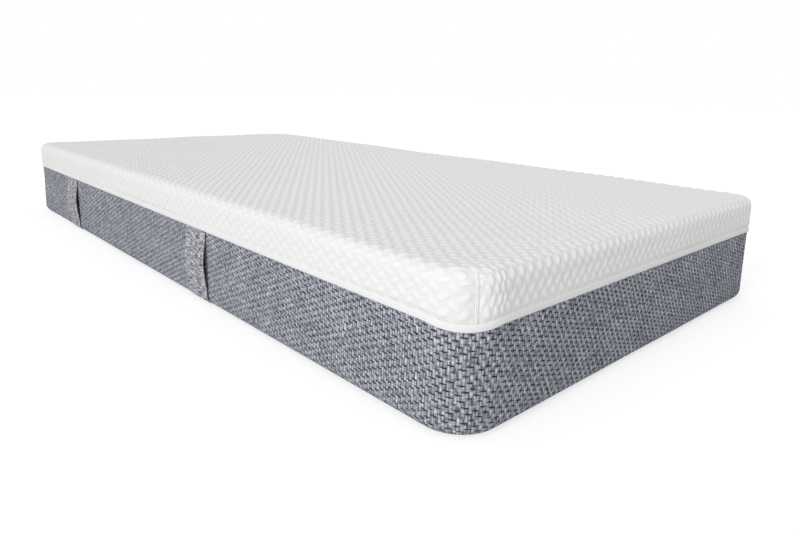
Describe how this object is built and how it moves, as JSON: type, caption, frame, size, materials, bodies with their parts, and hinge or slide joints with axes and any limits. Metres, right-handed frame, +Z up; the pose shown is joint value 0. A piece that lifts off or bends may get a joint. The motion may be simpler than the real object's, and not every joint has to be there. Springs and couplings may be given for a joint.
{
  "type": "memory foam mattress",
  "caption": "Memory foam mattress: layered foam core in a knit liner, zip-off white knit cover, grey woven border with sewn carrying straps and flat base panel.",
  "frame": {"origin": "middle of the underside, on the surface that the mattress lies on", "axes": "+Z up; Y along the length with the foot end at -Y; X across the width"},
  "size_m": [1.0176, 2.0059, 0.235],
  "materials": {
    "white_knit": "stretch jacquard knit with raised oval blisters",
    "white_tape": "smooth woven tape",
    "zip_tape": "herringbone tape",
    "zip_coil": "nylon coil",
    "zip_metal": "satin lacquer",
    "grey_weave": "coarse satin-laid upholstery weave, heathered",
    "base_fabric": "plain weave with small grip dots",
    "strap_webbing": "heathered webbing with stitched edges",
    "liner_knit": "fine tubular knit",
    "support_foam": "open cell polyurethane foam",
    "transition_foam": "open cell polyurethane foam",
    "memory_foam": "viscoelastic foam",
    "glue": "dried spray adhesive"
  },
  "bodies": {
    "base": {"base_border": "grey_weave", "base_panel": "base_fabric", "support_core": "support_foam", "lower_glue_film": "glue", "transition_foam": "transition_foam", "upper_glue_film": "glue", "memory_foam": "memory_foam", "inner_sock": "liner_knit", "lower_zip_tape": "zip_tape", "lower_zip_coil": "zip_coil", "zip_stops": "zip_metal"},
    "cover": {"knit_cover": "white_knit", "zip_flap": "white_tape", "upper_zip_tape": "zip_tape", "upper_zip_coil": "zip_coil"},
    "slider": {"zip_slider": "zip_metal"},
    "pull_tab": {"zip_pull_tab": "zip_metal"},
    "left_foot_handle": {"left_foot_strap": "strap_webbing"},
    "left_head_handle": {"left_head_strap": "strap_webbing"},
    "right_foot_handle": {"right_foot_strap": "strap_webbing"},
    "right_head_handle": {"right_head_strap": "strap_webbing"}
  },
  "joints": [
    {"name": "cover_lift", "type": "slide", "parent": "base", "child": "cover", "axis": [0, 0, 1], "range_m": [0, 0.15]},
    {"name": "zip_run", "type": "slide", "parent": "base", "child": "slider", "axis": [1, 0, 0], "range_m": [-0.6, 0]},
    {"name": "pull_flip", "type": "hinge", "parent": "slider", "child": "pull_tab", "pos_m": [0.3, 1.0026, 0.163], "axis": [0, 0, 1], "range_deg": [0, 180]},
    {"name": "left_foot_pull", "type": "slide", "parent": "base", "child": "left_foot_handle", "axis": [-1, 0, 0], "range_m": [0, 0.03], "stiffness_N_per_m": 300},
    {"name": "left_head_pull", "type": "slide", "parent": "base", "child": "left_head_handle", "axis": [-1, 0, 0], "range_m": [0, 0.03], "stiffness_N_per_m": 300},
    {"name": "right_foot_pull", "type": "slide", "parent": "base", "child": "right_foot_handle", "axis": [1, 0, 0], "range_m": [0, 0.03], "stiffness_N_per_m": 300},
    {"name": "right_head_pull", "type": "slide", "parent": "base", "child": "right_head_handle", "axis": [1, 0, 0], "range_m": [0, 0.03], "stiffness_N_per_m": 300}
  ]
}
